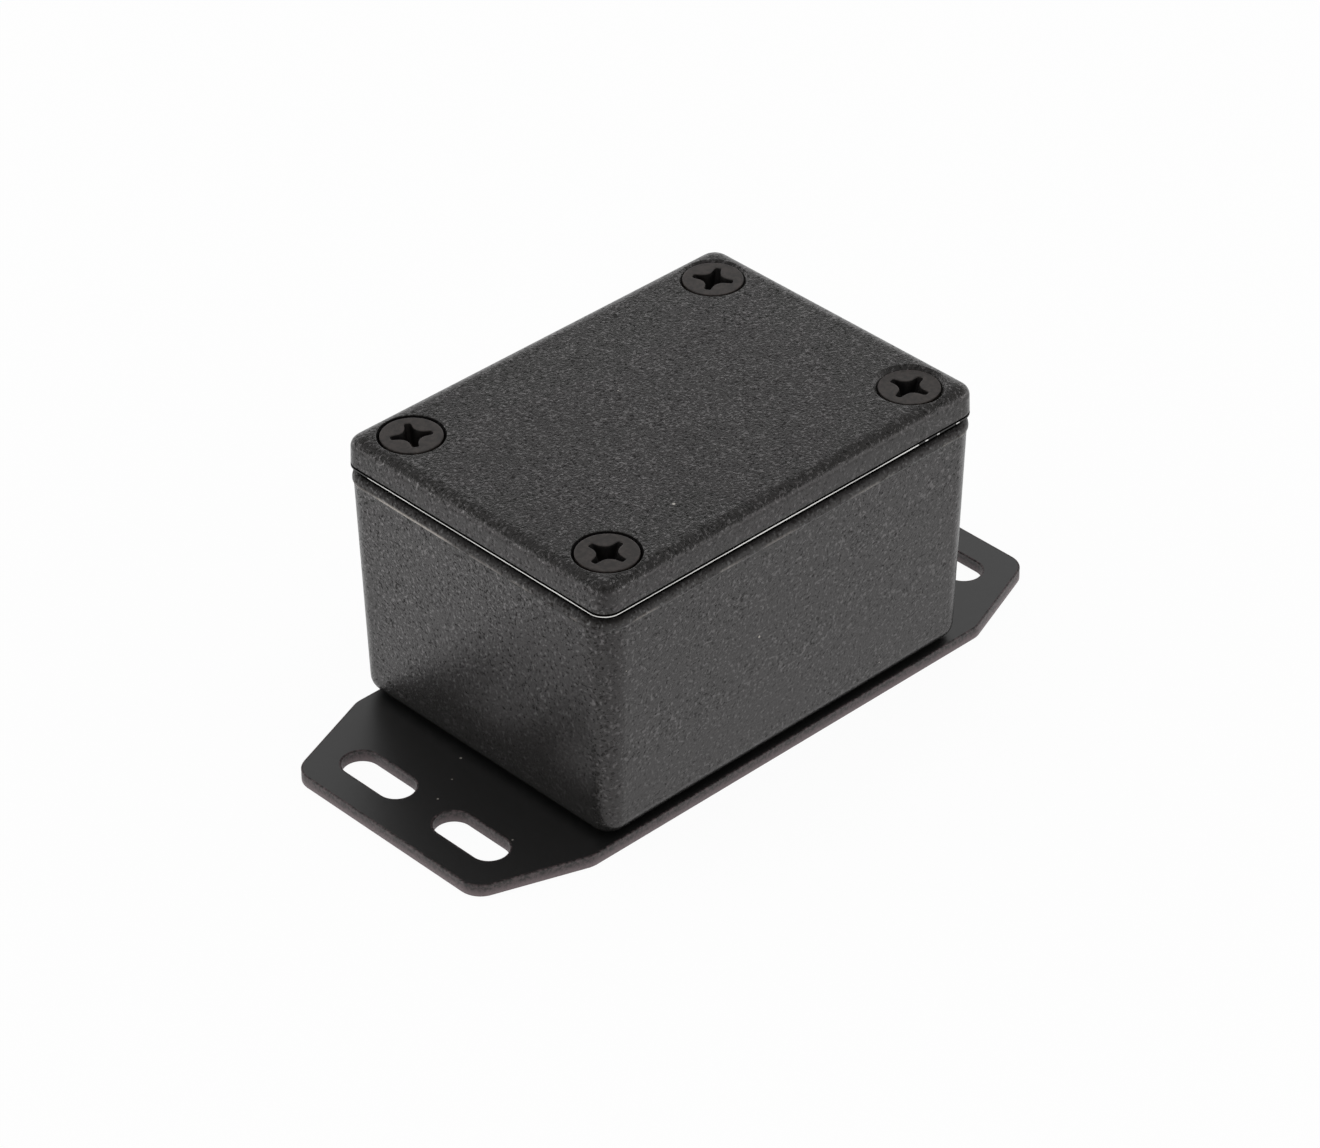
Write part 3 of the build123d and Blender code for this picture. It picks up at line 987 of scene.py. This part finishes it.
# %% Gasket in the lid's groove
GASKET_WIDTH, GASKET_HEIGHT, GASKET_ROUND = 0.94, 0.65, 0.12
bm = bmesh.new()
loop = ring(bm, cavity(TONGUE_THICKNESS / 2), GROOVE_ROOT - GASKET_HEIGHT / 2)
for k, vert in enumerate(loop):
    bm.edges.new((vert, loop[(k + 1) % len(loop)]))
mesh = bpy.data.meshes.new("gasket_path")
bm.to_mesh(mesh)
bm.free()
gasket = new_object("silicone_gasket", mesh)
run_tree(
    gasket, sweep, width=GASKET_WIDTH * MM, height=GASKET_HEIGHT * MM,
    rounding=GASKET_ROUND * MM, finish=silicone,
)
print("Gasket size in mm:", in_mm(gasket.dimensions))

# %% [markdown]
# ## The screws
# A lid screw is a flat head with a cross recess over a threaded shank. The head is
# mesh code: a recess has arms that narrow as they go down, with flanks that curve
# in. The thread is a rule, a ridge whose height depends on the angle plus the
# distance along, so Geometry Nodes make it from a plain cylinder, and set one
# screw on each point they are given, turned by the point's own value. The faces of
# the recess carry a mark, so that the tree gives them their darker finish, which is
# painted shade.

# %% Head of a countersunk screw
def recess(size, share=1.0, grow=0.0):
    """Outline of a cross recess, its size the reach, half tip, half root and flank radius."""
    reach, tip, root, flank = (value * share for value in size)
    corners = []
    for k in range(4):
        c, n = round(cos(pi / 2 * k)), round(sin(pi / 2 * k))
        corners += [
            (x * c - y * n, x * n + y * c)
            for x, y in [(reach, -tip), (reach, tip), (root, root)]
        ]
    return outline(corners, [tip * 0.7, tip * 0.7, flank] * 4, grow, steps=6)


def screw_head(name, radius, rim, shank, slope, cross, depth, finish):
    """Unseen object: a head whose face lies at height 0, with a short neck under it."""
    bm = bmesh.new()
    edge = min(0.09, rim * 0.4)
    cone = (radius - shank) / tan(slope)
    neck, face_edge = stack(bm, [
        (circle((0, 0), shank * 0.9), -rim - cone - 0.3),
        (circle((0, 0), shank), -rim - cone),
        (circle((0, 0), radius), -rim),
        (circle((0, 0), radius), -edge),
        (circle((0, 0), radius - edge * 0.3), -edge * 0.3),
        (circle((0, 0), radius - edge), 0),
        (circle((0, 0), radius - edge - 0.05), 0),
    ])
    flat(bm, neck)
    low, mouth = stack(bm, [
        (recess(cross, 0.45), -depth),
        (recess(cross, 0.74), -depth * 0.7),
        (recess(cross, 0.96), -depth * 0.12),
        (recess(cross), -0.06),
        (recess(cross, grow=0.02), -0.02),
        (recess(cross, grow=0.07), 0),
        (recess(cross, grow=0.11), 0),
    ])
    flat(bm, low)
    flat(bm, face_edge, mouth)
    in_recess = bm.faces.layers.bool.new("recess")
    for face in bm.faces:
        middle = face.calc_center_median() / MM
        face[in_recess] = -depth - 0.01 < middle.z < -0.1 and middle.xy.length < cross[0]
    head = piece(name, bm, [finish])
    bpy.context.scene.collection.objects.unlink(head)
    return head


lid_head = screw_head(
    "lid_screw_head", HEAD_RADIUS, HEAD_RIM, SCREW_RADIUS, HEAD_SLOPE,
    cross=(2.2, 0.33, 0.55, 1.2), depth=1.8, finish=oxide_steel,
)
plate_head = screw_head(
    "plate_screw_head", PLATE_HEAD_RADIUS, 0.1, PLATE_SCREW_RADIUS, radians(45),
    cross=(1.3, 0.2, 0.32, 0.6), depth=0.9, finish=oxide_steel,
)

# %% A tree that threads a shank and sets the screw on each point
screws, given, out = geometry_tree("screws on points", [
    ("Head", "Object"), ("Shank Radius", "Float"), ("Length", "Float"), ("Pitch", "Float"),
    ("Thread Depth", "Float"), ("Tip Over", "Float"), ("Finish", "Material"),
    ("Recess Finish", "Material"),
])
blank = add(screws, "GeometryNodeMeshCylinder", [
    ("Radius", given["Shank Radius"]), ("Depth", given["Length"]),
], Vertices=24, Side_Segments=96)
position = add(screws, "GeometryNodeInputPosition")
where = add(screws, "ShaderNodeSeparateXYZ", [(0, position)])
angle = node_math(screws, "ARCTAN2", where.outputs["Y"], where.outputs["X"])
turns = node_math(screws, "DIVIDE", angle, 2 * pi)
along = node_math(screws, "DIVIDE", where.outputs["Z"], given["Pitch"])
ridge = node_math(screws, "PINGPONG", node_math(screws, "ADD", along, turns), 0.5)
cut = node_math(screws, "MULTIPLY", ridge, given["Thread Depth"])
inward = node_math(screws, "DIVIDE", cut, given["Shank Radius"])
doubled = node_math(screws, "MULTIPLY", inward, -2.0)
flatwise = add(screws, "ShaderNodeCombineXYZ", [
    ("X", where.outputs["X"]), ("Y", where.outputs["Y"]),
])
shift = add(screws, "ShaderNodeVectorMath", [(0, flatwise), ("Scale", doubled)], operation="SCALE")
threaded = add(screws, "GeometryNodeSetPosition", [
    (0, blank.outputs["Mesh"]), ("Offset", shift),
])
half_way = node_math(screws, "MULTIPLY", given["Length"], -0.5)
under_head = node_math(screws, "SUBTRACT", half_way, given["Shank Radius"])
drop = add(screws, "ShaderNodeCombineXYZ", [("Z", under_head)])
hung = add(screws, "GeometryNodeTransform", [(0, threaded), ("Translation", drop)])
head_mesh = add(screws, "GeometryNodeObjectInfo", [("Object", given["Head"])])
whole = add(screws, "GeometryNodeJoinGeometry")
screws.links.new(hung.outputs[0], whole.inputs[0])
screws.links.new(head_mesh.outputs["Geometry"], whole.inputs[0])
points = add(screws, "GeometryNodeMeshToPoints", [(0, given["Geometry"])])
turned = add(screws, "GeometryNodeInputNamedAttribute", data_type="FLOAT", Name="turn")
attitude = add(screws, "ShaderNodeCombineXYZ", [
    ("X", given["Tip Over"]), ("Z", turned.outputs["Attribute"]),
])
placed = add(screws, "GeometryNodeInstanceOnPoints", [
    ("Points", points), ("Instance", whole), ("Rotation", attitude),
])
real = add(screws, "GeometryNodeRealizeInstances", [(0, placed)])
coated = add(screws, "GeometryNodeSetMaterial", [(0, real), ("Material", given["Finish"])])
in_recess = add(screws, "GeometryNodeInputNamedAttribute", data_type="BOOLEAN", Name="recess")
# The marked recess faces take the finish with painted shade
recessed = add(screws, "GeometryNodeSetMaterial", [
    (0, coated), ("Selection", in_recess.outputs["Attribute"]),
    ("Material", given["Recess Finish"]),
])
screws.links.new(recessed.outputs[0], out.inputs[0])
print("Screw tree:", len(screws.nodes), "nodes")

# %% Screws at their places
def screws_at(name, places, **inputs):
    """A piece with one screw at each (x, y, height, turn in degrees)."""
    mesh = bpy.data.meshes.new(name)
    mesh.from_pydata([(x * MM, y * MM, z * MM) for x, y, z, turn in places], [], [])
    turns = mesh.attributes.new("turn", "FLOAT", "POINT")
    for item, place in zip(turns.data, places):
        item.value = radians(place[3])
    return run_tree(
        new_object(name, mesh), screws, finish=oxide_steel, recess_finish=oxide_with_painted_recess_shade, **inputs
    )


lid_screw_pieces = {}
for number, (body, (x, y, turn, sink)) in enumerate(LID_SCREWS.items(), start=1):
    lid_screw_pieces[body] = screws_at(
        f"lid_screw_dressed_{number}", [(x, y, LID_TOP - sink, turn)],
        head=lid_head, shank_radius=SCREW_RADIUS * MM,
        length=(SCREW_LENGTH - SCREW_RADIUS) * MM, pitch=0.6 * MM, thread_depth=0.32 * MM,
        tip_over=0.0,
    )
plate_screw_piece = screws_at(
    "plate_screws_dressed",
    [(x, y, PLATE_SCREW_SINK, 20.0 if x < 0 else -20.0) for x, y in PLATE_SCREW_PLACES],
    head=plate_head, shank_radius=PLATE_SCREW_RADIUS * MM,
    length=(PLATE_SCREW_LENGTH - PLATE_SCREW_RADIUS) * MM, pitch=0.45 * MM,
    thread_depth=0.25 * MM, tip_over=pi,
)
print("Screw size in mm:", in_mm(lid_screw_pieces["screw_1"].dimensions))

# %% [markdown]
# ## Tie the pieces to the frame
# Each piece stands for its CAD node and moves with the node's body.

# %% Replace the CAD nodes
TIES = [
    (case, "enclosure_base", "base", "casting_coat"),
    (lid, "enclosure_lid", "lid", "casting_coat"),
    (gasket, "lid_gasket", "lid", "gasket_rubber"),
    (plate, "mounting_plate", "base", "plate_coat"),
    (plate_screw_piece, "plate_screws", "base", "screw_black"),
]
TIES += [
    (obj, f"lid_{body}", body, "screw_black") for body, obj in lid_screw_pieces.items()
]
for obj, node, body, slot in TIES:
    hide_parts(node)
    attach(obj, body)
print("Pieces tied:", len(TIES))

# %% [markdown]
# ## Floor, light and camera
# The object stands on a plain white sheet. Black satin shows almost nothing but
# reflections, so the surroundings are set up for it like white boards: brightest
# low down at the sides, duller behind and on the camera's side, and dim overhead.
# The sheet shows camera and mirror rays mostly its own even white, and a little of
# its paper, which keeps a faint shadow.

# %% White floor
# Share of the sheet's own white in what is seen of it
OWN_WHITE = 0.945

floor_white = bpy.data.materials.new("white paper sheet")
floor_white.use_nodes = True
tree = floor_white.node_tree
tree.nodes.clear()
paper = add(tree, "ShaderNodeBsdfDiffuse", Color=(0.9, 0.9, 0.9, 1.0))
glow = add(tree, "ShaderNodeEmission", Strength=1.0)
rays = add(tree, "ShaderNodeLightPath")
seen = node_math(tree, "MAXIMUM", rays.outputs["Is Camera Ray"], rays.outputs["Is Glossy Ray"])
share = node_math(tree, "MULTIPLY", seen, OWN_WHITE)
mixed = add(tree, "ShaderNodeMixShader", [(0, share), (1, paper), (2, glow)])
add(tree, "ShaderNodeOutputMaterial", [("Surface", mixed)])
mesh = bpy.data.meshes.new("floor")
mesh.from_pydata([(-3, -3, 0), (3, -3, 0), (3, 3, 0), (-3, 3, 0)], [], [(0, 1, 2, 3)])
mesh.materials.append(floor_white)
floor = new_object("floor", mesh)
floor.location.z = -0.00002
floor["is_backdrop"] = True
print("Floor is 6 m square")

# %% Soft surroundings
# Strengths low down: at the camera's side, at the sides, share behind; and overhead
AT_CAMERA, AT_SIDES, BEHIND_SHARE, OVERHEAD = 0.8, 1.9, 0.6, 0.37

world = bpy.data.worlds.new("soft studio")
bpy.context.scene.world = world
world.use_nodes = True
tree = world.node_tree
tree.nodes.clear()
direction = add(tree, "ShaderNodeTexCoord").outputs["Generated"]
behind = add(tree, "ShaderNodeVectorMath", [(0, direction)], operation="DOT_PRODUCT")
behind.inputs[1].default_value = (0.68, 0.73, 0.0)
around = node_math(
    tree, "MULTIPLY",
    between(tree, behind.outputs["Value"], -0.95, -0.4, AT_CAMERA, AT_SIDES),
    between(tree, behind.outputs["Value"], 0.2, 0.8, 1.0, BEHIND_SHARE),
)
high_up = between(tree, height_of(tree, direction), 0.36, 0.5)
level = add(tree, "ShaderNodeMix", [(0, high_up), (2, around)])
level.inputs[3].default_value = OVERHEAD
sky = add(tree, "ShaderNodeBackground", [("Strength", level)], Color=(1.0, 1.0, 1.0, 1.0))
add(tree, "ShaderNodeOutputWorld", [("Surface", sky)])
print("Surroundings, from sides to overhead:", AT_SIDES, OVERHEAD)

# %% Soft box overhead
lamp_data = bpy.data.lights.new("soft box overhead", "AREA")
lamp_data.shape = "SQUARE"
lamp_data.size = 1.0
lamp_data.energy = 5.5
lamp = new_object("soft box overhead", lamp_data)
lamp.location = (0.0, 0.0, 1.2)
lamp.visible_glossy = False
print("Soft box in watts:", lamp_data.energy)

# %% Camera at the photograph's angle
camera_data = bpy.data.cameras.new("camera")
camera_data.sensor_width = 36.0
camera_data.lens = 140.542
camera_data.clip_start, camera_data.clip_end = 0.01, 20.0
camera = new_object("camera", camera_data)
camera.matrix_world = Matrix((
    (0.7210012, 0.4044384, -0.5626605, -0.2998221),
    (-0.6929082, 0.4138198, -0.5904502, -0.3141520),
    (-0.0059607, 0.8155874, 0.5786032, 0.3205055),
    (0.0, 0.0, 0.0, 1.0),
))
bpy.context.scene.camera = camera
bpy.context.scene.view_settings.view_transform = "Standard"
print("Camera lens in mm:", camera_data.lens)

# %% Measure the scene's bounds
low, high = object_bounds()
